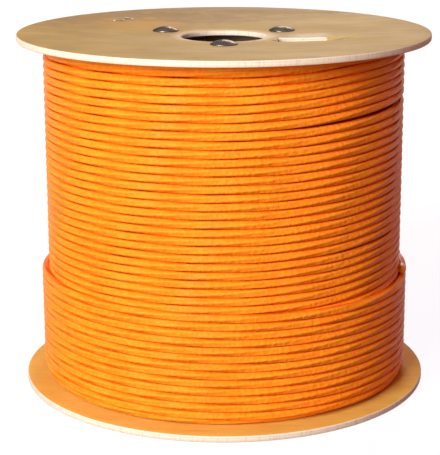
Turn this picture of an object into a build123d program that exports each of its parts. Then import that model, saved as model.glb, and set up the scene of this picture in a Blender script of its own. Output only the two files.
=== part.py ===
from build123d import *
import os
from math import cos, radians, sin, tan

# Cable drum standing on one flange, in millimetres.
# The origin is the middle of the base, with +Z up along the drum's axis.

# Overall sizes
flange_diameter = 400.0
overall_height = 345.0

# Flanges: plywood discs, clamped flat at the hub, flared outwards by the cable, and hollowed at the bore
flange_thickness = 6.0
flange_dish = 4.5
rim_land_width = 12.0
hub_margin = 2.0
arbor_bore_diameter = 82.0
bore_funnel_width = 17.0
bore_funnel_depth = 1.0
edge_break = 1.2

# Barrel: the tube that carries the winding, seated in a groove in each flange
barrel_diameter = 160.0
barrel_wall = 4.0
barrel_groove_depth = 2.0
barrel_groove_clearance = 0.25

# Cable and its winding
cable_diameter = 7.8
winding_freeboard = 25.0
outer_layer_height = 122.0
winding_end_clearance = 0.2
winding_bore_clearance = 0.2

# Tie bolts through the hollow of the barrel, and their tee nuts
bolt_inset = 9.5
bolt_diameter = 10.0
bolt_hole_clearance = 0.3
bolt_head_diameter = 25.5
bolt_head_height = 4.4
bolt_head_edge = 0.9
bolt_neck_width = 10.4
bolt_neck_length = 4.5
bolt_neck_clearance = 0.1
tee_nut_flange_diameter = 25.5
tee_nut_flange_thickness = 1.5
tee_nut_barrel_diameter = 12.5
tee_nut_barrel_margin = 1.0
tee_nut_hole_clearance = 0.2
tee_nut_thread_clearance = 0.05

# Start slot: the window that the cable's inner end is drawn out through
slot_barrel_overlap = 29.0
slot_length = 48.0
slot_width = 28.0
slot_offset = -35.5
slot_corner_radius = 2.0
ramp_depth = 3.0
ramp_angle = 8.0

# Heights that follow from the sizes above
rim_radius = flange_diameter / 2
bore_radius = arbor_bore_diameter / 2
barrel_radius = barrel_diameter / 2
barrel_inner_radius = barrel_radius - barrel_wall
flare_start_radius = barrel_radius + hub_margin
land_start_radius = rim_radius - rim_land_width
full_layer_radius = rim_radius - winding_freeboard
outer_layer_radius = full_layer_radius + cable_diameter * sin(radians(60))
bolt_circle_radius = barrel_inner_radius - bolt_inset
slot_inner_edge = barrel_radius - slot_barrel_overlap
lower_hub_outside = flange_dish
lower_hub_inside = flange_dish + flange_thickness
upper_hub_outside = overall_height - lower_hub_outside
upper_hub_inside = overall_height - lower_hub_inside
tee_nut_foot = lower_hub_outside - tee_nut_flange_thickness
funnel_radius = bore_radius + bore_funnel_width
tee_nut_barrel_length = flange_thickness - tee_nut_barrel_margin
head_radius = bolt_head_diameter / 2
bolt_angles = {"front": -90.0, "back_left": 150.0, "back_right": 30.0}


def bolt_plane(angle, height):
    """Level plane on one bolt's axis, its X pointing away from the drum's axis."""
    outward = (cos(radians(angle)), sin(radians(angle)), 0)
    centre = (bolt_circle_radius * outward[0], bolt_circle_radius * outward[1], height)
    return Plane(origin=centre, x_dir=outward, z_dir=(0, 0, 1))


def bolt_section_plane(angle, height):
    """Upright plane through one bolt's axis, for the half section of a turned piece."""
    level = bolt_plane(angle, height)
    return Plane(origin=level.origin, x_dir=level.x_dir, z_dir=-level.y_dir)


def inner_face_height(radius):
    """Height of the lower flange's inner face at a radius on its flare."""
    flare = (radius - flare_start_radius) / (land_start_radius - flare_start_radius)
    return lower_hub_inside - flare * flange_dish


def flange_blank(rim_plane, inward):
    """Turned blank of one flange, with its hub flat, its flare and its rim land.

    rim_plane is the height of the outer face at the rim, and inward is 1 where
    the cable lies above the flange and -1 where it lies below.
    """
    rim_inside = rim_plane + inward * flange_thickness
    hub_outside = rim_plane + inward * flange_dish
    hub_inside = hub_outside + inward * flange_thickness
    bore_outside = hub_outside + inward * bore_funnel_depth
    with BuildPart() as blank:
        with BuildSketch(Plane.XZ) as section:
            with BuildLine():
                Polyline(
                    (bore_radius, bore_outside),
                    (funnel_radius, hub_outside),
                    (flare_start_radius, hub_outside),
                    (land_start_radius, rim_plane),
                    (rim_radius, rim_plane),
                    (rim_radius, rim_inside),
                    (land_start_radius, rim_inside),
                    (flare_start_radius, hub_inside),
                    (bore_radius, hub_inside),
                    close=True,
                )
            make_face()
            chamfer(section.vertices().group_by(Axis.X)[-1], length=edge_break)
            bore_mouth = section.vertices().group_by(Axis.X)[0].sort_by(Axis.Y)[0 if inward > 0 else -1]
            chamfer(bore_mouth, length=edge_break)
        revolve(axis=Axis.Z)
        with BuildSketch(Plane.XY.offset(hub_inside)):
            Circle(barrel_radius + barrel_groove_clearance)
            Circle(barrel_inner_radius - barrel_groove_clearance, mode=Mode.SUBTRACT)
        extrude(amount=-inward * barrel_groove_depth, mode=Mode.SUBTRACT)
    return blank.part


# Top flange: bolt holes with the square necks' seats, and the start slot with its ramp
with BuildPart() as top_flange:
    add(flange_blank(overall_height, -1))
    with BuildSketch(Plane.XY.offset(upper_hub_outside)):
        with PolarLocations(bolt_circle_radius, len(bolt_angles), start_angle=bolt_angles["front"]):
            Circle(bolt_diameter / 2 + bolt_hole_clearance)
    extrude(amount=-flange_thickness, mode=Mode.SUBTRACT)
    with BuildSketch(Plane.XY.offset(upper_hub_outside)):
        with PolarLocations(bolt_circle_radius, len(bolt_angles), start_angle=bolt_angles["front"]):
            Rectangle(bolt_neck_width + 2 * bolt_neck_clearance, bolt_neck_width + 2 * bolt_neck_clearance)
    extrude(amount=-bolt_neck_length - bolt_neck_clearance, mode=Mode.SUBTRACT)
    with BuildSketch(Plane.XY.offset(overall_height)):
        with Locations((slot_inner_edge + slot_length / 2, slot_offset)):
            RectangleRounded(slot_length, slot_width, slot_corner_radius)
    extrude(amount=-flange_dish - flange_thickness, mode=Mode.SUBTRACT)
    ramp_foot = slot_inner_edge + slot_length - slot_corner_radius
    ramp_rise = flange_dish + ramp_depth
    with BuildSketch(Plane.XZ.offset(-slot_offset)):
        with BuildLine():
            Polyline(
                (ramp_foot, upper_hub_outside - ramp_depth),
                (ramp_foot + ramp_rise / tan(radians(ramp_angle)), overall_height),
                (ramp_foot, overall_height),
                close=True,
            )
        make_face()
    extrude(amount=slot_width / 2, both=True, mode=Mode.SUBTRACT)
top_flange.part.label = "top_flange"

# Bottom flange: holes for the barrels of the tee nuts
with BuildPart() as bottom_flange:
    add(flange_blank(0, 1))
    with BuildSketch(Plane.XY.offset(lower_hub_outside)):
        with PolarLocations(bolt_circle_radius, len(bolt_angles), start_angle=bolt_angles["front"]):
            Circle(tee_nut_barrel_diameter / 2 + tee_nut_hole_clearance)
    extrude(amount=flange_thickness, mode=Mode.SUBTRACT)
bottom_flange.part.label = "bottom_flange"

# Barrel: plain tube from one flange's groove to the other's
with BuildPart() as barrel:
    with BuildSketch(Plane.XY.offset(lower_hub_inside - barrel_groove_depth)):
        Circle(barrel_radius)
        Circle(barrel_inner_radius, mode=Mode.SUBTRACT)
    extrude(amount=upper_hub_inside - lower_hub_inside + 2 * barrel_groove_depth)
barrel.part.label = "barrel"

# Winding: its ends widen with the flare of the flanges, and the last layer stops part of the way up
with BuildPart() as cable_winding:
    inner_radius = barrel_radius + winding_bore_clearance
    lower_end = lower_hub_inside + winding_end_clearance
    upper_end = upper_hub_inside - winding_end_clearance
    outer_layer_foot = inner_face_height(outer_layer_radius) + winding_end_clearance
    full_layer_top = overall_height - inner_face_height(full_layer_radius) - winding_end_clearance
    with BuildSketch(Plane.XZ):
        with BuildLine():
            Polyline(
                (inner_radius, lower_end),
                (outer_layer_radius, outer_layer_foot),
                (outer_layer_radius, outer_layer_height),
                (full_layer_radius, outer_layer_height),
                (full_layer_radius, full_layer_top),
                (inner_radius, upper_end),
                close=True,
            )
        make_face()
    revolve(axis=Axis.Z)
cable_winding.part.label = "cable_winding"

pieces = [top_flange, bottom_flange, barrel, cable_winding]

# Tie bolts: low dome head, square neck let into the top flange, plain shank
for place, angle in bolt_angles.items():
    with BuildPart() as tie_bolt:
        with BuildSketch(bolt_section_plane(angle, upper_hub_outside)):
            with BuildLine():
                Polyline((0, bolt_head_height), (0, 0), (head_radius, 0), (head_radius, bolt_head_edge))
                TangentArc((0, bolt_head_height), (head_radius, bolt_head_edge), tangent=(1, 0))
            make_face()
        revolve(axis=Axis(bolt_plane(angle, 0).origin, (0, 0, 1)))
        with BuildSketch(bolt_plane(angle, upper_hub_outside)):
            Rectangle(bolt_neck_width, bolt_neck_width)
        extrude(amount=-bolt_neck_length)
        with BuildSketch(bolt_plane(angle, upper_hub_outside)):
            Circle(bolt_diameter / 2)
        extrude(amount=tee_nut_foot - upper_hub_outside)
    tie_bolt.part.label = f"tie_bolt_{place}"
    pieces.append(tie_bolt)

# Tee nuts: thin round flange against the hub, and a barrel in the hole above it
with BuildPart() as tee_nuts:
    with BuildSketch(Plane.XY.offset(tee_nut_foot)):
        with PolarLocations(bolt_circle_radius, len(bolt_angles), start_angle=bolt_angles["front"]):
            Circle(tee_nut_flange_diameter / 2)
    extrude(amount=tee_nut_flange_thickness)
    with BuildSketch(Plane.XY.offset(lower_hub_outside)):
        with PolarLocations(bolt_circle_radius, len(bolt_angles), start_angle=bolt_angles["front"]):
            Circle(tee_nut_barrel_diameter / 2)
    extrude(amount=tee_nut_barrel_length)
    with BuildSketch(Plane.XY.offset(tee_nut_foot)):
        with PolarLocations(bolt_circle_radius, len(bolt_angles), start_angle=bolt_angles["front"]):
            Circle(bolt_diameter / 2 + tee_nut_thread_clearance)
    extrude(amount=tee_nut_flange_thickness + tee_nut_barrel_length, mode=Mode.SUBTRACT)
tee_nuts.part.label = "tee_nuts"
pieces.append(tee_nuts)

# One file for each piece
os.makedirs("parts", exist_ok=True)
for piece in pieces:
    export_step(piece.part, f"parts/{piece.part.label}.step")
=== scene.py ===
"""Plywood cable drum wound with orange data cable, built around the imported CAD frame.

Every size is in metres, in the frame of the CAD: the origin is the middle of the
base, +Z runs up the drum's axis and -Y points at the viewer of the photograph.
"""

import logging
import math
from dataclasses import dataclass, field, fields
from enum import Enum, IntEnum
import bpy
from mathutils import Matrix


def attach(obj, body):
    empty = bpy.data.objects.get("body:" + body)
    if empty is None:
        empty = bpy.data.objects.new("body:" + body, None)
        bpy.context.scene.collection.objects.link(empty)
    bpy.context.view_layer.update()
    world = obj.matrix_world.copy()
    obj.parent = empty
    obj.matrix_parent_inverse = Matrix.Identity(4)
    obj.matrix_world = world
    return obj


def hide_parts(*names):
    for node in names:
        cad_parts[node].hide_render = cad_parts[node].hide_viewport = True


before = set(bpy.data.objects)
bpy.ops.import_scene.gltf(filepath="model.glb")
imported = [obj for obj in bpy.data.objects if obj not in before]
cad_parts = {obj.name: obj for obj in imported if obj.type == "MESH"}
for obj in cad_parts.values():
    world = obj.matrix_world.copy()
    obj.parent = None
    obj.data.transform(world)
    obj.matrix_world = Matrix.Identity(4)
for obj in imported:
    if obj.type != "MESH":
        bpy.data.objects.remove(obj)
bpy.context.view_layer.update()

from types import SimpleNamespace
from typing import Any, Callable, Mapping, Sequence

import bmesh
import bpy
from mathutils import Matrix, Vector
from mathutils.geometry import delaunay_2d_cdt

log = logging.getLogger("cable_drum")

BODY = "root"
MM = 0.001
WELD = 1e-7

Colour = tuple[float, float, float]
Point = tuple[float, float]
Socket = bpy.types.NodeSocket
Tree = bpy.types.NodeTree
Material = bpy.types.Material
Piece = bpy.types.Object
Mesh = bmesh.types.BMesh

WHITE = (1.0, 1.0, 1.0)


# Node trees


def label(name: str) -> str:
    """Socket's name for a field's: first_height gives First Height."""
    return name.replace("_", " ").title()


@dataclass(frozen=True)
class Value:
    """One output in a node tree. Where it is a number, it takes part in sums as a float does."""

    nodes: "Nodes"
    socket: Socket

    def __add__(self, other: "Term") -> "Value":
        """Sum."""
        return self.nodes.math("ADD", self, other)

    def __sub__(self, other: "Term") -> "Value":
        """Difference."""
        return self.nodes.math("SUBTRACT", self, other)

    def __rsub__(self, other: float) -> "Value":
        """Difference from a float."""
        return self.nodes.math("SUBTRACT", other, self)

    def __mul__(self, other: "Term") -> "Value":
        """Product."""
        return self.nodes.math("MULTIPLY", self, other)

    def __truediv__(self, other: "Term") -> "Value":
        """Quotient."""
        return self.nodes.math("DIVIDE", self, other)

    def __abs__(self) -> "Value":
        """Size without its sign."""
        return self.nodes.math("ABSOLUTE", self)

    def floor(self) -> "Value":
        """Whole part."""
        return self.nodes.math("FLOOR", self)

    def ramp(self, low: "Term", high: "Term") -> "Value":
        """Smooth rise from 0 where the value is low to 1 where it is high."""
        limits = {"Value": self, "From Min": low, "From Max": high}
        return self.nodes.out("ShaderNodeMapRange", limits, "Result", interpolation_type="SMOOTHSTEP")

    __radd__ = __add__
    __rmul__ = __mul__


Term = Value | float


class Nodes:
    """Puts nodes into one tree and joins their sockets."""

    def __init__(self, tree: Tree) -> None:
        """Starts on the tree that takes the nodes."""
        self.tree = tree

    @classmethod
    def blank(cls, holder: Material | bpy.types.World) -> "Nodes":
        """Starts on the emptied tree of a material or a world."""
        holder.use_nodes = True
        holder.node_tree.nodes.clear()
        return cls(holder.node_tree)

    def add(self, kind: str, values: Mapping[Any, Any] | None = None, **settings: Any) -> bpy.types.Node:
        """Adds a node.

        Args:
            kind: The node's type name.
            values: What each input gets, by the input's name or place.
            settings: The node's own settings.

        Returns:
            The new node.
        """
        node = self.tree.nodes.new(kind)
        for setting, value in settings.items():
            setattr(node, setting, value)
        for place, value in (values or {}).items():
            self.feed(node.inputs[place], value)
        return node

    def out(
        self, kind: str, values: Mapping[Any, Any] | None = None, output: int | str = 0, **settings: Any
    ) -> Value:
        """Adds a node, as add does, and gives the output with this name or place."""
        return Value(self, self.add(kind, values, **settings).outputs[output])

    def feed(self, socket: Socket, value: Any) -> None:
        """Joins a value to an input, or writes a constant on it.

        Args:
            socket: The input.
            value: A Value or a constant. A colour gets full opacity.
        """
        if isinstance(value, Value):
            self.tree.links.new(value.socket, socket)
        elif socket.type == "RGBA":
            socket.default_value = (*value, 1.0)
        else:
            socket.default_value = value

    def math(self, operation: str, *terms: Term) -> Value:
        """Result of a Math node on these terms."""
        return self.out("ShaderNodeMath", dict(enumerate(terms)), operation=operation)

    def vector_math(self, operation: str, *terms: Any, output: str = "Vector") -> Value:
        """Result of a Vector Math node on these terms."""
        return self.out("ShaderNodeVectorMath", dict(enumerate(terms)), output, operation=operation)

    def vector(self, *parts: Term) -> Value:
        """Vector of three numbers."""
        return self.out("ShaderNodeCombineXYZ", dict(enumerate(parts)))

    def parts(self, vector: Value) -> tuple[Value, ...]:
        """The three numbers of a vector."""
        return self.outputs(self.add("ShaderNodeSeparateXYZ", {0: vector}))

    def outputs(self, node: bpy.types.Node) -> tuple[Value, ...]:
        """Every output of a node, in order."""
        return tuple(Value(self, socket) for socket in node.outputs)

    def noise(self, place: Value, scale: Term, detail: float = 3.0, roughness: float = 0.5) -> Value:
        """Noise from about 0 to 1.

        Args:
            place: Where the noise is read.
            scale: Features to the metre, for a place in metres.
            detail: Octaves.
            roughness: Share of each finer octave.

        Returns:
            The noise.
        """
        values = {"Vector": place, "Scale": scale, "Detail": detail, "Roughness": roughness}
        return self.out("ShaderNodeTexNoise", values)

    def blend(self, share: Value, first: Value | Colour, second: Value | Colour) -> Value:
        """Mixes two colours, with this share of the second."""
        return self.out("ShaderNodeMix", {0: share, 6: first, 7: second}, 2, data_type="RGBA")

    def group(self, tree: Tree, **values: Any) -> tuple[Value, ...]:
        """Places a node group.

        Args:
            tree: The group's own tree.
            values: What each of its named inputs gets.

        Returns:
            The group's outputs.
        """
        node = self.add("ShaderNodeGroup", node_tree=tree)
        for name, value in values.items():
            self.feed(node.inputs[label(name)], value)
        return self.outputs(node)


class Effects:
    """Shader node groups that several finishes share, each built once."""

    def __init__(self) -> None:
        """Builds every group."""
        tone_inputs = {"Vector": None, "Patch Scale": 12.0, "Mark Scale": 150.0, "Mark Cover": 0.3}
        spot_inputs = {"Vector": None, "Centre": None, "Half Size": None, "Ragged": 0.25}
        self.streaks = self.build("wood_streaks", {"Vector": None, "Along": 5.0, "Across": 60.0}, self.grain)
        self.mottle = self.build("uneven_tone", tone_inputs, self.uneven_tone)
        self.spot = self.build("spot_mask", spot_inputs, self.spot_mask)

    @staticmethod
    def build(name: str, inputs: Mapping[str, float | None], fill: Callable[..., dict[str, Value]]) -> Tree:
        """Builds a group.

        Args:
            name: The group's name.
            inputs: Each input with its usual value, or None for a vector.
            fill: Adds the nodes for these inputs and says what each output gets.

        Returns:
            The group's tree.
        """
        tree = bpy.data.node_groups.new(name, "ShaderNodeTree")
        for title, usual in inputs.items():
            kind = "NodeSocketVector" if usual is None else "NodeSocketFloat"
            socket = tree.interface.new_socket(title, in_out="INPUT", socket_type=kind)
            if usual is not None:
                socket.default_value = usual
        nodes = Nodes(tree)
        given = nodes.add("NodeGroupInput").outputs
        made = fill(nodes, *(Value(nodes, given[title]) for title in inputs))
        for title in made:
            tree.interface.new_socket(title, in_out="OUTPUT", socket_type="NodeSocketFloat")
        nodes.add("NodeGroupOutput", made)
        return tree

    @staticmethod
    def grain(nodes: Nodes, place: Value, along: Value, across: Value) -> dict[str, Value]:
        """Wood grain that runs along X: broad streaks, and fine pores in them."""
        x, y, z = nodes.parts(place)
        sway = nodes.noise(place, 7.0, 2.0) * 0.03
        broad = nodes.vector(x * along, (y + sway) * across, z * along)
        fine = nodes.vector(x * along * 6.0, (y + sway) * across * 9.0, z * along)
        return {
            "Streak": nodes.noise(broad, 1.0, 4.0).ramp(0.3, 0.7),
            "Pore": nodes.noise(fine, 1.0, 2.0).ramp(0.52, 0.72),
        }

    @staticmethod
    def uneven_tone(nodes: Nodes, place: Value, patch: Value, mark: Value, cover: Value) -> dict[str, Value]:
        """Uneven tone: soft patches, and small marks that handling leaves."""
        limit = 0.78 - cover * 0.4
        return {
            "Patch": nodes.noise(place, patch).ramp(0.3, 0.7),
            "Mark": nodes.noise(place, mark, 5.0, 0.7).ramp(limit, limit + 0.12),
        }

    @staticmethod
    def spot_mask(nodes: Nodes, place: Value, centre: Value, half: Value, ragged: Value) -> dict[str, Value]:
        """Mask of one spot: full at its centre, with a ragged edge."""
        share = nodes.vector_math("DIVIDE", nodes.vector_math("SUBTRACT", place, centre), half)
        reach = nodes.vector_math("LENGTH", share, output="Value")
        uneven = nodes.noise(place, 60.0, 4.0) - 0.5
        return {"Mask": 1.0 - (reach + uneven * ragged * 4.0).ramp(0.35, 1.0)}


# Finishes

# What a finish feeds the shader: its colour, its roughness and the height of its bumps
Coat = tuple[Value, Value, Value]


@dataclass(frozen=True)
class Finish:
    """A material on the Principled shader, which each kind of finish fills in.

    Attributes:
        name: The material's name.
        roughness: Usual roughness of the surface.
        relief: Depth of its bumps.
        specular: Strength of its reflection.
        metallic: 1 for metal.
        edge: Colour of its reflection at a glancing angle.
    """

    name: str
    roughness: float
    relief: float
    specular: float = 0.5
    metallic: float = 0.0
    edge: Colour = WHITE

    def make(self, effects: Effects) -> Material:
        """Builds the material.

        Args:
            effects: The shared node groups.

        Returns:
            The material, ready to assign.
        """
        material = bpy.data.materials.new(self.name)
        nodes = Nodes.blank(material)
        place = nodes.out("ShaderNodeTexCoord", output="Object")
        colour, roughness, height = self.dress(nodes, place, effects)
        bump = nodes.out("ShaderNodeBump", {"Height": height, "Distance": self.relief, "Strength": 1.0})
        values = {
            "Base Color": colour,
            "Roughness": roughness,
            "Metallic": self.metallic,
            "Specular IOR Level": self.specular,
            "Specular Tint": self.edge,
            "Normal": bump,
        }
        shader = nodes.out("ShaderNodeBsdfPrincipled", values)
        nodes.add("ShaderNodeOutputMaterial", {"Surface": shader})
        return material

    def dress(self, nodes: Nodes, place: Value, effects: Effects) -> Coat:
        """Paints the surface. Each kind of finish has its own.

        Args:
            nodes: Builder of the material's tree.
            place: Position on the piece, in metres.
            effects: The shared node groups.

        Returns:
            The colour, the roughness and the height of the bumps from 0 to 1.
        """
        raise NotImplementedError


@dataclass(frozen=True)
class Mark:
    """A spot on the veneer.

    Attributes:
        centre: Where it is.
        half_size: Its reach along each axis.
        colour: Its colour.
        strength: How much of the wood it hides.
        ragged: How uneven its edge is.
    """

    centre: tuple[float, float, float]
    half_size: tuple[float, float, float]
    colour: Colour
    strength: float
    ragged: float


@dataclass(frozen=True)
class Veneer(Finish):
    """Sanded face veneer of the plywood, with its grain along X.

    Attributes:
        light_ring_inside: Radius up to which the wood round the bore is painted pale, the light that the
            funnel round the bore catches.
        light_ring_outside: Radius where that painted light ends.
        wear: How much of the wood the painted light hides.
        marks: Spots on the wood: stains, and also painted light and shade.
    """

    name: str = "ply_veneer"
    roughness: float = 0.62
    relief: float = 0.18 * MM
    specular: float = 0.05
    light: Colour = (0.58, 0.45, 0.165)
    dark: Colour = (0.42, 0.31, 0.1)
    pore: Colour = (0.25, 0.16, 0.07)
    # Painted light: a pale ring round the bore, the light that the funnel round it catches
    worn: Colour = (0.78, 0.68, 0.49)
    light_ring_inside: float = 45 * MM
    light_ring_outside: float = 63 * MM
    wear: float = 0.8
    marks: tuple[Mark, ...] = ()

    def dress(self, nodes: Nodes, place: Value, effects: Effects) -> Coat:
        """Grain, handling marks, a pale ring of painted light round the bore, and the spots, some of them
        painted light and shade.
        """
        streak, pore = nodes.group(effects.streaks, vector=place, along=4.0, across=55.0)
        patch, mark = nodes.group(
            effects.mottle, vector=place, patch_scale=17.0, mark_scale=130.0, mark_cover=0.4
        )
        wood = nodes.blend(streak * 0.4 + patch * 0.6, self.dark, self.light)
        wood = nodes.blend(pore * 0.3, wood, self.pore)
        wood = nodes.blend(mark * 0.26, wood, self.pore)
        x, y, _ = nodes.parts(place)
        # Painted light: the pale ring round the bore
        reach = nodes.math("SQRT", x * x + y * y)
        uneven = nodes.noise(place, 45.0) * (14 * MM)
        ring = 1.0 - (reach + uneven).ramp(self.light_ring_inside, self.light_ring_outside)
        wood = nodes.blend(ring * self.wear, wood, self.worn)
        for spot in self.marks:
            values = {"centre": spot.centre, "half_size": spot.half_size, "ragged": spot.ragged}
            (mask,) = nodes.group(effects.spot, vector=place, **values)
            wood = nodes.blend(mask * spot.strength, wood, spot.colour)
        height = streak * 0.35 - pore * 0.65 - mark * 0.2
        return wood, self.roughness + streak * 0.1 - ring * 0.06, height


@dataclass(frozen=True)
class CutPly(Finish):
    """Sawn and sanded edge of the plywood, where its plies show as lines.

    Attributes:
        plies: Number of plies in the sheet.
        glue_line: Share of a ply that its glue line takes.
        depth_name: Attribute with the share of the sheet's thickness, 0 at the outer face.
    """

    name: str = "ply_cut_edge"
    roughness: float = 0.62
    relief: float = 0.15 * MM
    plies: float = 5.0
    glue_line: float = 0.09
    long_grain: Colour = (0.8, 0.77, 0.68)
    end_grain: Colour = (0.74, 0.64, 0.5)
    glue: Colour = (0.42, 0.29, 0.19)
    depth_name: str = "ply_depth"

    def dress(self, nodes: Nodes, place: Value, effects: Effects) -> Coat:
        """Plies by depth, each long grain or end grain by the way it was cut."""
        depth = nodes.out("ShaderNodeAttribute", output="Fac", attribute_name=self.depth_name)
        ripple = nodes.noise(place, 30.0, 2.0) - 0.5
        layer = (depth + ripple * 0.035) * self.plies
        crosswise = nodes.math("MODULO", abs(layer.floor()), 2.0)
        facing_x, facing_y, _ = nodes.parts(nodes.out("ShaderNodeNewGeometry", output="Normal"))
        end = abs(facing_x) * (1.0 - crosswise) + abs(facing_y) * crosswise
        patch, speck = nodes.group(
            effects.mottle, vector=place, patch_scale=40.0, mark_scale=700.0, mark_cover=0.5
        )
        wood = nodes.blend(end * 0.6 + patch * 0.15, self.long_grain, self.end_grain)
        line = (1.0 - nodes.math("FRACT", layer).ramp(0.0, self.glue_line)) * 0.28
        wood = nodes.blend(line, wood, self.glue)
        x, y, z = nodes.parts(place)
        saw = nodes.noise(nodes.vector(x, y, z * 0.1), 520.0, 2.0).ramp(0.5, 0.68)
        wood = nodes.blend(saw * (0.06 + end * 0.3), wood, self.glue)
        wood = nodes.blend(speck * end * 0.25, wood, self.glue)
        height = patch * 0.4 - line - saw * 0.5 - speck * end * 0.4
        return wood, self.roughness + end * 0.12, height


@dataclass(frozen=True)
class RawBoard(Finish):
    """Spiral-wound board of the barrel.

    Attributes:
        strip_height: Height that the strip gains in one turn.
        seam_width: Half the seam's width, as a share of that height.
    """

    name: str = "barrel_board"
    roughness: float = 0.8
    relief: float = 0.3 * MM
    board: Colour = (0.3, 0.19, 0.11)
    seam: Colour = (0.15, 0.09, 0.05)
    strip_height: float = 110 * MM
    seam_width: float = 0.012

    def dress(self, nodes: Nodes, place: Value, effects: Effects) -> Coat:
        """Mottled board with the seam that winds round it."""
        x, y, z = nodes.parts(place)
        turn = nodes.math("ARCTAN2", y, x) / math.tau
        climb = nodes.math("FRACT", z / self.strip_height + turn)
        seam = (1.0 - abs(climb - 0.5).ramp(0.0, self.seam_width)) * 0.8
        patch, fibre = nodes.group(
            effects.mottle, vector=place, patch_scale=25.0, mark_scale=260.0, mark_cover=0.7
        )
        board = nodes.blend(patch * 0.35 + fibre * 0.3, self.board, self.seam)
        return nodes.blend(seam, board, self.seam), self.roughness - patch * 0.1, fibre * 0.5 - seam


@dataclass(frozen=True)
class Sheath(Finish):
    """Orange sheath of the data cable, which shows the four twisted pairs under it.

    Attributes:
        lay: Length in which the pairs go once round the cable.
        pairs: Number of pairs.
        along_name: Attribute with the length along the cable.
        round_name: Attribute with the direction out from the cable's middle.
    """

    name: str = "cable_sheath"
    roughness: float = 0.36
    relief: float = 0.7 * MM
    specular: float = 0.055
    fresh: Colour = (0.97, 0.355, 0.024)
    deep: Colour = (0.95, 0.22, 0.01)
    scuff: Colour = (0.97, 0.45, 0.13)
    # Painted shade: deep red for the flanks of each turn that face its neighbours, where the grooves lie in
    # shade
    flank: Colour = (0.82, 0.15, 0.005)
    lay: float = 72 * MM
    pairs: float = 4.0
    along_name: str = "cable_along"
    round_name: str = "cable_round"

    def dress(self, nodes: Nodes, place: Value, effects: Effects) -> Coat:
        """Satin plastic with the lumps of the pairs, faint scuffs, and painted shade that darkens the flanks
        facing the next turns.
        """
        along = nodes.out("ShaderNodeAttribute", output="Fac", attribute_name=self.along_name)
        outward = nodes.out("ShaderNodeAttribute", output="Vector", attribute_name=self.round_name)
        side, rise, _ = nodes.parts(outward)
        twist = nodes.math("ARCTAN2", rise, side) * self.pairs
        lump = nodes.math("SINE", twist + along * (math.tau / self.lay)) * 0.5 + 0.5
        patch, mark = nodes.group(
            effects.mottle, vector=place, patch_scale=30.0, mark_scale=420.0, mark_cover=0.3
        )
        mottle = nodes.noise(place, 240.0, 2.0).ramp(0.35, 0.65)
        _, _, upright = nodes.parts(nodes.out("ShaderNodeNewGeometry", output="Normal"))
        # Painted shade: faces that point up or down, into the grooves between turns, are darkened
        flank = abs(upright).ramp(0.7, 1.0)
        sheath = nodes.blend(patch * 0.3 + lump * 0.35 + mottle * 0.35, self.deep, self.fresh)
        sheath = nodes.blend(mark * 0.18, sheath, self.scuff)
        colour = nodes.blend(flank * 0.75, sheath, self.flank)
        height = lump + mottle * 0.45 + patch * 0.2 - mark * 0.1
        return colour, self.roughness + patch * 0.08 + mark * 0.1, height


@dataclass(frozen=True)
class ZincSteel(Finish):
    """Zinc-plated steel of the bolts, nuts and staples."""

    name: str = "zinc_steel"
    roughness: float = 0.2
    relief: float = 0.04 * MM
    metallic: float = 1.0
    edge: Colour = (0.42, 0.38, 0.36)
    # Painted reflection: both colours are far darker than zinc plating, so the white surround reflects dark
    # in the heads
    bright: Colour = (0.15, 0.13, 0.12)
    dull: Colour = (0.06, 0.05, 0.045)

    def dress(self, nodes: Nodes, place: Value, effects: Effects) -> Coat:
        """Plated metal, darkened as a painted dark reflection, with dull patches and fine marks."""
        patch, mark = nodes.group(
            effects.mottle, vector=place, patch_scale=110.0, mark_scale=600.0, mark_cover=0.6
        )
        metal = nodes.blend(patch * 0.6 + mark * 0.4, self.bright, self.dull)
        return metal, self.roughness + patch * 0.12 + mark * 0.1, mark


@dataclass(frozen=True)
class PlainPlastic(Finish):
    """Plain plastic or tape with a faint unevenness.

    Attributes:
        shade: Share of its colour that its darker patches keep.
    """

    relief: float = 0.1 * MM
    colour: Colour = (0.03, 0.03, 0.03)
    shade: float = 0.7

    def dress(self, nodes: Nodes, place: Value, effects: Effects) -> Coat:
        """One colour, a little uneven."""
        patch, _ = nodes.group(
            effects.mottle, vector=place, patch_scale=60.0, mark_scale=500.0, mark_cover=0.3
        )
        darker = tuple(part * self.shade for part in self.colour)
        return nodes.blend(patch, darker, self.colour), self.roughness + patch * 0.1, patch


# Meshes and pieces


def keep_outwards(mesh: Mesh) -> None:
    """Turns the faces of a closed mesh outwards."""
    bmesh.ops.recalc_face_normals(mesh, faces=mesh.faces)
    if mesh.calc_volume(signed=True) < 0:
        bmesh.ops.reverse_faces(mesh, faces=mesh.faces)


def skin(mesh: Mesh, rows: Sequence[Sequence[bmesh.types.BMVert]]) -> None:
    """Joins closed rings of vertices, each to the next, by bands of faces."""
    for upper, lower in zip(rows, rows[1:]):
        for i in range(len(upper)):
            after = (i + 1) % len(upper)
            mesh.faces.new((upper[i], upper[after], lower[after], lower[i]))


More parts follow.
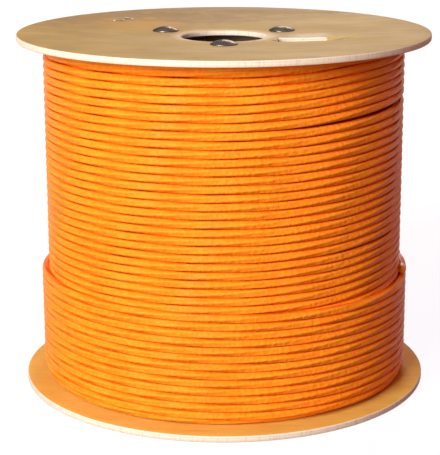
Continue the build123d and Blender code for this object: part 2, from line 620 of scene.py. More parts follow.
def turned(profile: Sequence[Point], facets: int, closed: bool = False) -> Mesh:
    """Turns a profile round the Z axis.

    Args:
        profile: Points as (radius, height). A point on the axis becomes a pole.
        facets: Number of steps round the axis.
        closed: Whether the last point joins the first, as in a ring.

    Returns:
        A closed mesh with its faces outwards.
    """
    mesh = bmesh.new()
    rows = []
    for step in range(facets):
        angle = math.tau * step / facets
        across, along = math.cos(angle), math.sin(angle)
        rows.append([mesh.verts.new((radius * across, radius * along, height)) for radius, height in profile])
    last = len(profile) if closed else len(profile) - 1
    for here, there in zip(rows, rows[1:] + rows[:1]):
        for place in range(last):
            after = (place + 1) % len(profile)
            mesh.faces.new((here[place], there[place], there[after], here[after]))
    bmesh.ops.remove_doubles(mesh, verts=mesh.verts, dist=WELD)
    bmesh.ops.dissolve_degenerate(mesh, dist=WELD, edges=mesh.edges)
    keep_outwards(mesh)
    return mesh


def add_part(mesh: Mesh, part: Mesh) -> None:
    """Moves everything in one mesh into another and frees it."""
    data = bpy.data.meshes.new("part")
    part.to_mesh(data)
    part.free()
    mesh.from_mesh(data)
    bpy.data.meshes.remove(data)


def linked(name: str, data: bpy.types.ID) -> Piece:
    """Object with this data, linked to the scene at the origin."""
    piece = bpy.data.objects.new(name, data)
    bpy.context.scene.collection.objects.link(piece)
    return piece


def object_from(mesh: Mesh, name: str, *materials: Material, sharp_degrees: float = 32.0) -> Piece:
    """Makes an object of a bmesh, smooth but for its sharp edges.

    Args:
        mesh: The mesh, which is freed.
        name: The object's name.
        materials: Its materials.
        sharp_degrees: Edges that bend more than this stay sharp.

    Returns:
        The object.
    """
    data = bpy.data.meshes.new(name)
    mesh.to_mesh(data)
    mesh.free()
    data.shade_smooth()
    data.set_sharp_from_angle(angle=math.radians(sharp_degrees))
    for material in materials:
        data.materials.append(material)
    return linked(name, data)


def settle(piece: Piece, slot: str | None, *stands_for: str) -> Piece:
    """Ties a finished piece to the frame.

    Args:
        piece: The piece, at the origin.
        slot: The record's material slot, if it has one. It is not used.
        stands_for: The CAD nodes that it replaces.

    Returns:
        The piece.
    """
    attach(piece, BODY)
    if stands_for:
        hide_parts(*stands_for)
    log.info("%s: %d triangles", piece.name, sum(len(face.vertices) - 2 for face in piece.data.polygons))
    return piece


# Geometry trees, each with one named input for each field of a dataclass


@dataclass(frozen=True)
class Layer:
    """One wound layer of cable, from one end of its path to the other.

    Attributes:
        finish: Material of the cable.
        radius: Distance of the cable's middle from the drum's axis.
        start: Where it starts, in turns from the back of the turn at the first height.
        turns: Number of turns.
        first_height: Height of the first turn.
        rise: Height that each turn gains, below 0 for a layer that goes down.
        shift_start: Share of a turn, counted from the back, where it leaves its level.
        shift_end: Share of a turn where it reaches the next level.
        seed: Which wander the turns have.
        gap_turn: First turn above the wide gap.
        gap_lift: How far the turns above it are lifted on the right.
        gap_ease: How much of that lift the turns next to the flange lose.
        small_gap_turn: First turn above the narrow gap.
        small_gap_lift: Half the width of the narrow gap.
        wander: Range of the turns' wander.
        lowest: Height of a turn that lies on the bottom flange.
        highest: Height of a turn that lies under the top flange.
        squeeze: Height within which a flange is felt.
        points_each_turn: Points in each turn.
        cable_radius: Radius of the cable.
        sides: Facets round the cable.
    """

    finish: Material
    radius: float
    start: float
    turns: float
    first_height: float
    rise: float
    shift_start: float
    shift_end: float
    seed: float
    gap_turn: float = 1000.0
    gap_lift: float = 0.0
    gap_ease: float = 0.0
    small_gap_turn: float = 1000.0
    small_gap_lift: float = 0.0
    wander: float = 0.9 * MM
    lowest: float = 10.9 * MM
    highest: float = 334.2 * MM
    squeeze: float = 6 * MM
    points_each_turn: int = 216
    cable_radius: float = 3.9 * MM
    sides: int = 16


@dataclass(frozen=True)
class EndTurns:
    """Turns that lie against a flange, one ring to each layer."""

    finish: Material
    layers: int
    first_radius: float
    radius_step: float
    first_height: float
    height_step: float
    cable_radius: float
    ring_points: int = 120
    sides: int = 10


@dataclass(frozen=True)
class RoundAxis:
    """Circle round the Z axis on which a piece is repeated."""

    finish: Material
    count: int
    circle_radius: float
    first_angle: float


@dataclass(frozen=True)
class Thread:
    """Screw thread: a ridge wound round the Z axis."""

    finish: Material
    turns: float
    core_radius: float
    foot: float
    pitch: float
    ridge: float
    points_each_turn: int = 24


class GeometryTree:
    """Geometry Nodes tree whose named inputs are the fields of a dataclass."""

    KINDS = {int: "NodeSocketInt", float: "NodeSocketFloat", Material: "NodeSocketMaterial"}

    def __init__(self, name: str, inputs: type) -> None:
        """Makes the tree and its sockets.

        Args:
            name: The tree's name.
            inputs: The dataclass.
        """
        self.tree = bpy.data.node_groups.new(name, "GeometryNodeTree")
        for side in ("INPUT", "OUTPUT"):
            self.tree.interface.new_socket("Geometry", in_out=side, socket_type="NodeSocketGeometry")
        for item in fields(inputs):
            kind = self.KINDS[item.type]
            self.tree.interface.new_socket(label(item.name), in_out="INPUT", socket_type=kind)
        self.nodes = Nodes(self.tree)
        sockets = self.nodes.add("NodeGroupInput").outputs
        self.geometry = Value(self.nodes, sockets["Geometry"])
        self.given = SimpleNamespace(
            **{item.name: Value(self.nodes, sockets[label(item.name)]) for item in fields(inputs)}
        )

    def line(self, count: Term) -> tuple[Value, Value]:
        """Line of points, and the number of each point or edge in it."""
        points = self.nodes.out("GeometryNodeMeshLine", {"Count": count}, mode="OFFSET")
        return points, self.nodes.out("GeometryNodeInputIndex")

    def moved(self, points: Value, spot: Value) -> Value:
        """Points, each at its own spot."""
        return self.nodes.out("GeometryNodeSetPosition", {"Geometry": points, "Position": spot})

    def sweep(self, points: Value, section: Value) -> Value:
        """Tube with this section along a line of points, its ends closed."""
        curve = self.nodes.out("GeometryNodeMeshToCurve", {"Mesh": points})
        upright = self.nodes.out("GeometryNodeSetCurveNormal", {"Curve": curve})
        values = {"Curve": upright, "Profile Curve": section, "Fill Caps": True}
        return self.nodes.out("GeometryNodeCurveToMesh", values)

    def circle(self, radius: Term, sides: Value | int) -> Value:
        """Round section."""
        values = {"Resolution": sides, "Radius": radius}
        return self.nodes.out("GeometryNodeCurvePrimitiveCircle", values, mode="RADIUS")

    def cable(self, points: Value, along: Value) -> Value:
        """Sweeps the cable along a line of points, with the attributes of its sheath.

        Args:
            points: The middle of the cable.
            along: Length along the cable at each of the points.

        Returns:
            The tube.
        """
        stored = {"Geometry": points, "Name": Sheath.along_name, "Value": along}
        measured = self.nodes.out("GeometryNodeStoreNamedAttribute", stored, data_type="FLOAT")
        outward = self.nodes.vector_math("NORMALIZE", self.nodes.out("GeometryNodeInputPosition"))
        ring = self.circle(self.given.cable_radius, self.given.sides)
        stored = {"Geometry": ring, "Name": Sheath.round_name, "Value": outward}
        section = self.nodes.out("GeometryNodeStoreNamedAttribute", stored, data_type="FLOAT_VECTOR")
        return self.sweep(measured, section)

    def end(self, geometry: Value) -> Tree:
        """Closes the tree with real geometry in its finish.

        Args:
            geometry: What the tree made.

        Returns:
            The finished tree.
        """
        real = self.nodes.out("GeometryNodeRealizeInstances", {"Geometry": geometry})
        smooth = self.nodes.out("GeometryNodeSetShadeSmooth", {"Geometry": real})
        values = {"Geometry": smooth, "Material": self.given.finish}
        self.nodes.add("NodeGroupOutput", {0: self.nodes.out("GeometryNodeSetMaterial", values)})
        return self.tree


def run_modifier(piece: Piece, tree: Tree, inputs: Any) -> None:
    """Runs a geometry tree on a piece and keeps the result as its plain mesh.

    Args:
        piece: The object that takes the modifier.
        tree: The geometry tree.
        inputs: The dataclass that holds the value of each named input.
    """
    values = {label(item.name): getattr(inputs, item.name) for item in fields(inputs)}
    modifier = piece.modifiers.new(tree.name, "NODES")
    modifier.node_group = tree
    for item in tree.interface.items_tree:
        if item.item_type == "SOCKET" and item.in_out == "INPUT" and item.name in values:
            modifier[item.identifier] = values[item.name]
    evaluated = piece.evaluated_get(bpy.context.evaluated_depsgraph_get())
    result = bpy.data.meshes.new_from_object(evaluated)
    piece.modifiers.remove(modifier)
    result.name = piece.name
    piece.data = result
    shaped = bmesh.new()
    shaped.from_mesh(result)
    if shaped.calc_volume(signed=True) < 0:
        bmesh.ops.reverse_faces(shaped, faces=shaped.faces)
        shaped.to_mesh(result)
    shaped.free()


def turn_position(nodes: Nodes, angle: Value, radius: Term, height: Term) -> Value:
    """Point round the drum's axis, its angle counted from the viewer's side towards +X.

    Args:
        nodes: Builder of the tree.
        angle: Angle round the drum's axis.
        radius: Distance from the axis.
        height: Height.

    Returns:
        The point.
    """
    across, back = radius * nodes.math("SINE", angle), radius * nodes.math("COSINE", angle) * -1.0
    return nodes.vector(across, back, height)


def wound_layer_tree() -> Tree:
    """Tree of one wound layer: level turns that shift by one pitch on one side of the drum."""
    shape = GeometryTree("wound_layer", Layer)
    nodes, given = shape.nodes, shape.given
    line, index = shape.line(nodes.math("ROUND", given.turns * given.points_each_turn) + 1.0)
    turns = index / given.points_each_turn + given.start
    turn = turns.floor()
    share = turns - turn
    angle = share * math.tau - math.pi
    shifted = share.ramp(given.shift_start, given.shift_end)
    regular = given.first_height + (turn + shifted) * given.rise

    # The wide gap opens to the right of the middle of the front and closes at the back.
    # Most of it comes from the turns above, the rest from a few turns below.
    opened = share.ramp(0.5, 0.66) * (1.0 - share.ramp(0.75, 0.95))
    past = turn - given.gap_turn
    above, below, tight = past.ramp(-0.6, -0.4), past.ramp(-4.0, -1.0), past.ramp(2.0, 7.0)
    lift = (above * 0.76 + below * 0.24 - tight * given.gap_ease) * given.gap_lift

    # The narrow gap pushes the turns on both sides of it apart, less the further they lie
    small_opened = share.ramp(0.56, 0.64) * (1.0 - share.ramp(0.78, 0.9))
    small_past = turn - given.small_gap_turn
    small_side = small_past.ramp(-0.6, -0.4) * 2.0 - 1.0
    small_reach = 1.0 - abs(small_past + 0.5).ramp(0.5, 4.0)
    small_lift = small_side * small_reach * given.small_gap_lift

    # Turns wander a little, smoothly along the cable, in height and in depth
    sine, cosine = nodes.math("SINE", angle), nodes.math("COSINE", angle)
    wander_place = nodes.vector(sine * 2.2 + given.seed, cosine * 2.2, turns * 0.8)
    depth_place = nodes.vector(sine * 3.0, cosine * 3.0 + given.seed, turns * 1.1)
    wander = (nodes.noise(wander_place, 1.0, 2.0) - 0.5) * given.wander
    depth_wander = (nodes.noise(depth_place, 1.0, 1.0) - 0.5) * given.wander * 0.5
    law = regular + opened * lift + small_opened * small_lift + wander

    # Next to a flange a turn has no room, so it sinks between its neighbour and the layer below
    raised = nodes.math("SMOOTH_MAX", law, given.lowest, given.squeeze)
    height = nodes.math("SMOOTH_MIN", raised, given.highest, given.squeeze)
    width = given.cable_radius * 2.0
    excess = nodes.math("MINIMUM", abs(height - law), width)
    sink = nodes.math("SQRT", excess * (width * 2.0 - excess))
    spot = turn_position(nodes, angle, given.radius - sink + depth_wander, height)
    return shape.end(shape.cable(shape.moved(line, spot), turns * math.tau * given.radius))


def end_turns_tree() -> Tree:
    """Tree of the turns that lie against a flange, one ring to each layer."""
    shape = GeometryTree("end_turns", EndTurns)
    nodes, given = shape.nodes, shape.given
    held = given.ring_points + 1.0
    line, index = shape.line(given.layers * held)
    layer = ((index + 0.5) / held).floor()
    angle = (index - layer * held) / given.ring_points * math.tau + math.pi
    radius = given.first_radius + layer * given.radius_step
    height = given.first_height + layer * given.height_step

    # The edge that would lead from one ring to the next is taken out
    past = (index + 1.0) / held
    between = nodes.math("COMPARE", past, nodes.math("ROUND", past), 0.0001)
    values = {"Geometry": line, "Selection": between}
    parted = nodes.out("GeometryNodeDeleteGeometry", values, domain="EDGE", mode="EDGE_FACE")
    rings = shape.moved(parted, turn_position(nodes, angle, radius, height))
    return shape.end(shape.cable(rings, angle * radius))


def around_axis_tree() -> Tree:
    """Tree that repeats a piece on a circle round the Z axis, turned to face outwards."""
    shape = GeometryTree("around_axis", RoundAxis)
    nodes, given = shape.nodes, shape.given
    line, index = shape.line(given.count)
    angle = given.first_angle + index * math.tau / given.count
    radius = given.circle_radius
    spot = nodes.vector(radius * nodes.math("COSINE", angle), radius * nodes.math("SINE", angle), 0.0)
    turn = nodes.vector(0.0, 0.0, angle)
    values = {"Points": shape.moved(line, spot), "Instance": shape.geometry, "Rotation": turn}
    return shape.end(nodes.out("GeometryNodeInstanceOnPoints", values))


def thread_tree() -> Tree:
    """Tree of a screw thread: a four-sided ridge, half of it sunk in the shank."""
    shape = GeometryTree("screw_thread", Thread)
    nodes, given = shape.nodes, shape.given
    line, index = shape.line(nodes.math("ROUND", given.turns * given.points_each_turn) + 1.0)
    turns = index / given.points_each_turn
    height = given.foot + turns * given.pitch
    spot = turn_position(nodes, turns * math.tau, given.core_radius, height)
    return shape.end(shape.sweep(shape.moved(line, spot), shape.circle(given.ridge, 4)))


# Flanges


class FlangeEnd(Enum):
    """Which end of the drum a flange closes."""

    TOP = "top"
    BOTTOM = "bottom"


class Surface(IntEnum):
    """Material slots of a flange."""

    OUTER = 0
    CUT = 1
    INNER = 2


@dataclass(frozen=True)
class Outline:
    """Closed outline in a flange: a circle or a box with round corners.

    Attributes:
        centre: Its middle.
        half_length: Half its size along X.
        half_width: Half its size along Y.
        corner: Radius of its corners, half its size for a circle.
        edge_round: Radius that its edges are sanded to.
        corner_facets: Steps in each corner.
        run_facets: Steps in each straight run, 0 for a circle.
        wood_side: 1 where the wood lies round it, -1 for the rim.
    """

    centre: Point
    half_length: float
    half_width: float
    corner: float
    edge_round: float
    corner_facets: int
    run_facets: int
    wood_side: int = 1

    @classmethod
    def circle(cls, centre: Point, radius: float, facets: int, edge: float, wood_side: int = 1) -> "Outline":
        """Round outline, with this number of facets in all."""
        return cls(centre, radius, radius, radius, edge, facets // 4, 0, wood_side)

    def points(self, inset: float) -> list[Point]:
        """Outline moved into the wood.

        Args:
            inset: How far it moves.

        Returns:
            Its points, the same number for every inset.
        """
        corner = self.corner + inset * self.wood_side
        reach_x = self.half_length - self.corner
        reach_y = self.half_width - self.corner
        signs = ((1, 1), (-1, 1), (-1, -1), (1, -1))
        found: list[Point] = []
        for quarter, (side_x, side_y) in enumerate(signs):
            middle = (self.centre[0] + side_x * reach_x, self.centre[1] + side_y * reach_y)
            for step in range(self.corner_facets + (1 if self.run_facets else 0)):
                angle = (quarter + step / self.corner_facets) * math.pi / 2
                found.append((middle[0] + corner * math.cos(angle), middle[1] + corner * math.sin(angle)))
            next_x, next_y = signs[(quarter + 1) % 4]
            start = found[-1]
            for step in range(1, self.run_facets):
                share = step / self.run_facets
                run_x, run_y = (next_x - side_x) * reach_x, (next_y - side_y) * reach_y
                found.append((start[0] + run_x * share, start[1] + run_y * share))
        return found

    def wood_beyond(self, x: float, y: float) -> float:
        """Distance from the outline into the wood, below 0 in the open part."""
        across = abs(x - self.centre[0]) - (self.half_length - self.corner)
        along = abs(y - self.centre[1]) - (self.half_width - self.corner)
        outside = math.hypot(max(across, 0.0), max(along, 0.0)) + min(max(across, along), 0.0)
        return (outside - self.corner) * self.wood_side


@dataclass(frozen=True)
class Ramp:
    """Sloping channel that leads out of the start slot.

    Attributes:
        foot: Where it is deepest, along X.
        centre_y: Its middle line.
        half_width: Half its width.
        depth: Its depth at the foot, below the hub's outer face.
        slope_degrees: Its slope.
        reach: Length within which it meets the outer face.
        steps: Steps in each of its lines.
        sliver: How far its lines lie from its walls.
    """

    foot: float = 97 * MM
    centre_y: float = -35.5 * MM
    half_width: float = 14 * MM
    depth: float = 3 * MM
    slope_degrees: float = 8.0
    reach: float = 45 * MM
    steps: int = 12
    sliver: float = 0.02 * MM

    def below_hub(self, x: float) -> float:
        """Depth below the hub's outer face at a place along X."""
        return self.depth - (x - self.foot) * math.tan(math.radians(self.slope_degrees))

    def holds(self, x: float, y: float) -> bool:
        """Whether a place lies in the channel, past the slot's end."""
        beside = abs(y - self.centre_y) < self.half_width + 0.3 * MM
        return self.foot + 2.2 * MM < x < self.foot + self.reach and beside

    def lines(self, cut: Callable[[float, float], float]) -> list[list[Point]]:
        """Lines along its sides and its far end, which the mesh has to follow.

        Args:
            cut: Depth of the cut below the outer face at a place.

        Returns:
            The lines, each as its points.
        """
        low, high = self.centre_y - self.half_width, self.centre_y + self.half_width
        end: list[Point] = []
        for step in range(self.steps + 1):
            y = low + self.sliver + (high - low - 2 * self.sliver) * step / self.steps
            near, far = self.foot + 3 * MM, self.foot + 80 * MM
            for _ in range(30):
                middle = (near + far) / 2
                near, far = (middle, far) if cut(middle, y) > 0 else (near, middle)
            end.append((near, y))
        lines = [end]
        start = self.foot + 2.1 * MM
        for side, into, tip in ((low, self.sliver, end[0]), (high, -self.sliver, end[-1])):
            places = [start + (tip[0] - start) * step / self.steps for step in range(self.steps + 1)]
            lines.append([(x, side + into) for x in places])
            lines.append([(x, side - into) for x in places])
        return lines


@dataclass
class Flange:
    """Plywood disc: flat at its hub, flared by the cable, with a flat land at its rim.

    Attributes:
        end: Which end of the drum it closes.
        rim_plane: Height of its outer face at the rim.
        holes: Outlines of its holes.
        ramp: The channel out of the start slot, if it has one.
        rim_radius: Its radius.
        bore_radius: Radius of the arbor bore.
        thickness: Thickness of the sheet.
        dish: How far the hub lies inside the rim's plane.
        funnel_radius: Radius where the hollow round the bore starts.
        funnel_depth: Depth of that hollow at the bore.
        flare_start: Radius where the flare starts.
        flare_end: Radius where it ends.
        bend: Length over which the sheet bends at both ends of the flare.
        rim_round: Radius that the edges of the rim and the bore are sanded to.
        edge_steps: Facets in each rounded edge.
        grid_step: Size of the mesh on the faces.
    """

    end: FlangeEnd
    rim_plane: float
    holes: tuple[Outline, ...]
    ramp: Ramp | None = None
    rim_radius: float = 199.8 * MM
    bore_radius: float = 41 * MM
    thickness: float = 6 * MM
    dish: float = 4.5 * MM
    funnel_radius: float = 58 * MM
    funnel_depth: float = 1 * MM
    flare_start: float = 82 * MM
    flare_end: float = 188 * MM
    bend: float = 12 * MM
    rim_round: float = 1.3 * MM
    edge_steps: int = 4
    grid_step: float = 7 * MM

    @property
    def outlines(self) -> list[Outline]:
        """Every outline of the sheet: its rim, its bore and its holes."""
        rim = Outline.circle((0.0, 0.0), self.rim_radius, 288, self.rim_round, wood_side=-1)
        bore = Outline.circle((0.0, 0.0), self.bore_radius, 144, self.rim_round)
        return [rim, bore, *self.holes]

    @property
    def inward(self) -> int:
        """1 where the cable lies above the flange, -1 where it lies below."""
        return -1 if self.end is FlangeEnd.TOP else 1

    def eased(self, distance: float) -> float:
        """Line that starts with a soft bend."""
        if abs(distance) < self.bend:
            return (distance + self.bend) ** 2 / (4 * self.bend)
        return max(distance, 0.0)

    def outer_drop(self, x: float, y: float) -> float:
        """How far the outer face lies inside the rim's plane."""
        radius = math.hypot(x, y)
        flared = self.eased(radius - self.flare_start) - self.eased(radius - self.flare_end)
        return self.dish * (1.0 - flared / (self.flare_end - self.flare_start))

    def cut(self, x: float, y: float) -> float:
        """Depth of the funnel's and the ramp's cut below the outer face, 0 away from them."""
        reach = self.funnel_radius - math.hypot(x, y)
        funnel = max(0.0, reach / (self.funnel_radius - self.bore_radius)) * self.funnel_depth
        if self.ramp is None or x < self.ramp.foot or abs(y - self.ramp.centre_y) > self.ramp.half_width:
            return funnel
        return max(0.0, self.dish + self.ramp.below_hub(x) - self.outer_drop(x, y))

    def point(self, x: float, y: float, depth: float) -> Vector:
        """Point in the sheet at a depth below its outer face."""
        return Vector((x, y, self.rim_plane + self.inward * (self.outer_drop(x, y) + depth)))

    def filling(self, fixed: Sequence[Vector]) -> list[Vector]:
        """Points on rings that fill a face, clear of its outlines and of the fixed points."""
        found: list[Vector] = []
        outlines = self.outlines
        radius = self.bore_radius + self.grid_step / 2
        while radius < self.rim_radius:
            steps = max(24, round(math.tau * radius / self.grid_step))
            for step in range(steps):
                angle = math.tau * (step + radius * 50) / steps
                spot = Vector((radius * math.cos(angle), radius * math.sin(angle)))
                clear = all(o.wood_beyond(*spot) > o.edge_round + self.grid_step * 0.3 for o in outlines)
                if clear and all((spot - other).length > 1.2 * MM for other in fixed):
                    found.append(spot)
            radius += self.grid_step
        return found

    def face(self, mesh: Mesh, outer: bool) -> None:
        """Meshes one of the two faces of the sheet.

        Args:
            mesh: The mesh that takes the face.
            outer: True for the outer face, False for the inner.
        """
        outlines = self.outlines
        lines = self.ramp.lines(self.cut) if outer and self.ramp else []
        corners: list[Vector] = []
        edges: list[tuple[int, int]] = []
        for outline in outlines:
            first, ring = len(corners), outline.points(outline.edge_round)
            corners += [Vector(point) for point in ring]
            edges += [(first + i, first + (i + 1) % len(ring)) for i in range(len(ring))]
        for line in lines:
            first = len(corners)
            corners += [Vector(point) for point in line]
            edges += [(first + i, first + i + 1) for i in range(len(line) - 1)]
        corners += self.filling([Vector(point) for line in lines for point in line])
        spots, _, triangles, *_ = delaunay_2d_cdt(corners, edges, [], 0, 1e-9)
        made = []
        for spot in spots:
            depth = self.cut(*spot) if outer else self.thickness
            made.append(mesh.verts.new(self.point(spot.x, spot.y, depth)))
        for triangle in triangles:
            middle = sum((spots[i] for i in triangle), Vector((0.0, 0.0))) / 3
            if all(o.wood_beyond(*middle) > o.edge_round * 0.9 for o in outlines):
                mesh.faces.new([made[i] for i in triangle])

    def wall(self, mesh: Mesh, outline: Outline) -> None:
        """Meshes the wall of one outline, with both its edges sanded round."""
        edge = outline.edge_round
        bends = [math.pi / 2 * step / self.edge_steps for step in range(self.edge_steps + 1)]
        rounded = [(edge * (1 - math.sin(a)), edge * (1 - math.cos(a))) for a in bends]
        rows = []
        for inset, drop in rounded:
            ring = outline.points(inset)
            rows.append([mesh.verts.new(self.point(x, y, self.cut(x, y) + drop)) for x, y in ring])
        for inset, drop in reversed(rounded):
            ring = outline.points(inset)
            rows.append([mesh.verts.new(self.point(x, y, self.thickness - drop)) for x, y in ring])
        skin(mesh, rows)

    def surface(self, face: bmesh.types.BMFace, share: float) -> Surface:
        """Which surface a face belongs to, by its mean share of the sheet's thickness."""
        centre = face.calc_center_median()
        in_funnel = math.hypot(centre.x, centre.y) < self.funnel_radius and abs(face.normal.z) > 0.95
        in_ramp = self.ramp is not None and self.ramp.holds(centre.x, centre.y)
        if share > 0.99:
            return Surface.INNER
        return Surface.OUTER if share < 0.01 or in_funnel or in_ramp else Surface.CUT

    def build(self, outer: Material, cut_ply: Material, inner: Material) -> Piece:
        """Builds the flange and stands it in for its CAD node.

        Args:
            outer: Material of its outer face.
            cut_ply: Material of its edges.
            inner: Material of its inner face.

        Returns:
            The piece.
        """
        mesh = bmesh.new()
        self.face(mesh, outer=True)
        self.face(mesh, outer=False)
        for outline in self.outlines:
            self.wall(mesh, outline)
        bmesh.ops.remove_doubles(mesh, verts=mesh.verts, dist=2e-6)
        bmesh.ops.dissolve_degenerate(mesh, dist=WELD, edges=mesh.edges)
        keep_outwards(mesh)
        shares = mesh.verts.layers.float.new(CutPly.depth_name)
        for vertex in mesh.verts:
            outside = self.point(vertex.co.x, vertex.co.y, 0.0).z
            vertex[shares] = (vertex.co.z - outside) * self.inward / self.thickness
        for face in mesh.faces:
            share = sum(vertex[shares] for vertex in face.verts) / len(face.verts)
            face.material_index = self.surface(face, share)
        open_edges = sum(1 for edge in mesh.edges if not edge.is_manifold)
        if open_edges:
            log.warning("%s_flange_ply: %d open edges", self.end.value, open_edges)
        piece = object_from(mesh, f"{self.end.value}_flange_ply", outer, cut_ply, inner)
        return settle(piece, "plywood_flange", f"{self.end.value}_flange")


# Winding


@dataclass
class Winding:
    """The wound cable: its two outer layers, the turns against the flanges and what lies below.

    Attributes:
        sheath: Material of the cable.
        depth: Material of the cable deep in the winding, painted dark red as the shade in the gaps.
        cable_radius: Radius of the cable.
        full_radius: Radius of the middle of the cable in the full layer.
        outer_radius: The same in the part layer outside it.
        barrel_radius: Outer radius of the barrel.
        under_hub: Height of the top flange's inner face at the hub.
        above_hub: Height of the bottom flange's inner face there.
        flare_slope: Slope of the flanges' flare.
        inner_layers: Number of layers whose end turns are laid.
    """

    sheath: Material
    depth: Material
    cable_radius: float = 3.9 * MM
    full_radius: float = 171.1 * MM
    outer_radius: float = 177.85 * MM
    barrel_radius: float = 80 * MM
    under_hub: float = 334.3 * MM
    above_hub: float = 10.7 * MM
    flare_slope: float = 4.5 / 106
    inner_layers: int = 14

    @property
    def full_layer(self) -> Layer:
        """The full layer, which shows above the step."""
        return Layer(
            finish=self.sheath,
            radius=self.full_radius,
            start=-1.0,
            turns=30.6,
            first_height=107.6 * MM,
            rise=7.93 * MM,
            shift_start=0.53,
            shift_end=0.9,
            seed=3.0,
            gap_turn=22.0,
            gap_lift=4.0 * MM,
            gap_ease=0.22,
            small_gap_turn=7.0,
            small_gap_lift=0.6 * MM,
            sides=14,
        )

    @property
    def part_layer(self) -> Layer:
        """The part layer outside it, from the cable's outer end downwards."""
        return Layer(
            finish=self.sheath,
            radius=self.outer_radius,
            start=0.7222,
            turns=14.0278,
            first_height=119.8 * MM,
            rise=-7.74 * MM,
            shift_start=0.34,
            shift_end=0.8,
            seed=11.0,
        )

    def end_turns(self, top: bool) -> EndTurns:
        """The turns that lie against one flange."""
        first = self.barrel_radius + self.cable_radius + 0.3 * MM
        step = (self.full_radius - 0.4 * MM - first) / (self.inner_layers - 1)
        hub = self.under_hub - self.cable_radius if top else self.above_hub + self.cable_radius
        rise = self.flare_slope * step * (1 if top else -1)
        return EndTurns(self.sheath, self.inner_layers, first, step, hub, rise, self.cable_radius)

    def wind(self, name: str, tree: Tree, inputs: Layer | EndTurns) -> Piece:
        """Makes one piece of wound cable with a geometry tree."""
        piece = object_from(bmesh.new(), name)
        run_modifier(piece, tree, inputs)
        return settle(piece, "cable_sheath", "cable_winding")

    def core(self) -> Piece:
        """Turns the bulk of the winding, which shows only where a gap opens, in dark red that paints the
        gap's shade.
        """
        inner = self.barrel_radius + 0.2 * MM
        outer = self.full_radius - 4.6 * MM
        profile = ((inner, 17 * MM), (outer, 13 * MM), (outer, 332 * MM), (inner, 328 * MM))
        piece = object_from(turned(profile, 180, closed=True), "cable_winding_core", self.depth)
        return settle(piece, "cable_sheath", "cable_winding")

    def build(self) -> Piece:
        """Winds every layer.

        Returns:
            The part layer, whose first ring of vertices is the cable's outer end.
        """
        layer_tree = wound_layer_tree()
        ring_tree = end_turns_tree()
        self.wind("cable_full_layer", layer_tree, self.full_layer)
        outer = self.wind("cable_outer_layer", layer_tree, self.part_layer)
        self.wind("cable_end_turns_top", ring_tree, self.end_turns(top=True))
        self.wind("cable_end_turns_bottom", ring_tree, self.end_turns(top=False))
        self.core()
        return outer


@dataclass
class CableEnd:
    """The cable's outer end at the right: its shrunk cap, and the tape that holds it.

    Attributes:
        cap_rings: Rings of the cable's vertices that the cap covers.
        cap_radius: Radius of the cap.
        cap_wall: Thickness of its wall.
        cap_tip: How far the cap reaches past the cable.
        tape_radius: Distance of the tape from the drum's axis.
        tape_width: Width of the tape round the drum.
        tape_azimuth: Middle of the tape, in degrees from the viewer's side towards +X.
        tape_low: Height of its lower edge.
        tape_high: Height of its upper edge.
        tape_sheet: Thickness of the tape.
    """

    cap_rings: int = 2
    cap_radius: float = 4.15 * MM
    cap_wall: float = 0.4 * MM
    cap_tip: float = 1.6 * MM
    tape_radius: float = 182.1 * MM
    tape_width: float = 46 * MM
    tape_azimuth: float = 106.0
    tape_low: float = 92 * MM
    tape_high: float = 115.5 * MM
    tape_sheet: float = 0.25 * MM

    def cap(self, outer: Piece, sides: int, plastic: Material) -> Piece:
        """Turns the cap and slips it on the cable's end.

        Args:
            outer: The part layer.
            sides: Vertices in each of its rings.
            plastic: Material of the cap.

        Returns:
            The piece.
        """
        middles = []
        for ring in (0, self.cap_rings):
            held = outer.data.vertices[ring * sides : (ring + 1) * sides]
            middles.append(sum((vertex.co for vertex in held), Vector()) / sides)
        tip, base = middles
        length = (tip - base).length + self.cap_tip
        radius, bend = self.cap_radius, self.cap_tip
        inner = radius - self.cap_wall
        profile = [(inner, 0.0), (radius - 0.1 * MM, 0.0), (radius, 0.3 * MM), (radius, length - bend)]
        for step in range(1, 6):
            angle = math.pi / 2 * step / 5
            profile.append((radius - bend + bend * math.cos(angle), length - bend + bend * math.sin(angle)))
        profile += [(0.0, length), (0.0, length - 0.5 * MM), (inner - bend / 2, length - 0.5 * MM)]
        mesh = turned(profile, 40, closed=True)
        lie = (tip - base).to_track_quat("Z", "Y").to_matrix().to_4x4()
        bmesh.ops.transform(mesh, matrix=Matrix.Translation(base) @ lie, verts=mesh.verts)
        return settle(object_from(mesh, "cable_end_cap", plastic), None)

    def tape(self, plastic: Material) -> Piece:
        """Lays the tape over the last turns."""
        mesh = bmesh.new()
        across, along = 24, 12
        reach = self.tape_width / self.tape_radius / 2
        middle = math.radians(self.tape_azimuth - 90.0)
        heights = [self.tape_low + (self.tape_high - self.tape_low) * j / along for j in range(along + 1)]
        rows = []
        for i in range(across + 1):
            angle = middle - reach + 2 * reach * i / across
            east, north = self.tape_radius * math.cos(angle), self.tape_radius * math.sin(angle)
            rows.append([mesh.verts.new((east, north, height)) for height in heights])
        for here, there in zip(rows, rows[1:]):
            for j in range(along):
                mesh.faces.new((here[j], there[j], there[j + 1], here[j + 1]))
        bmesh.ops.solidify(mesh, geom=mesh.faces[:], thickness=self.tape_sheet)
        keep_outwards(mesh)
        return settle(object_from(mesh, "cable_end_tape", plastic), None)


# Fasteners


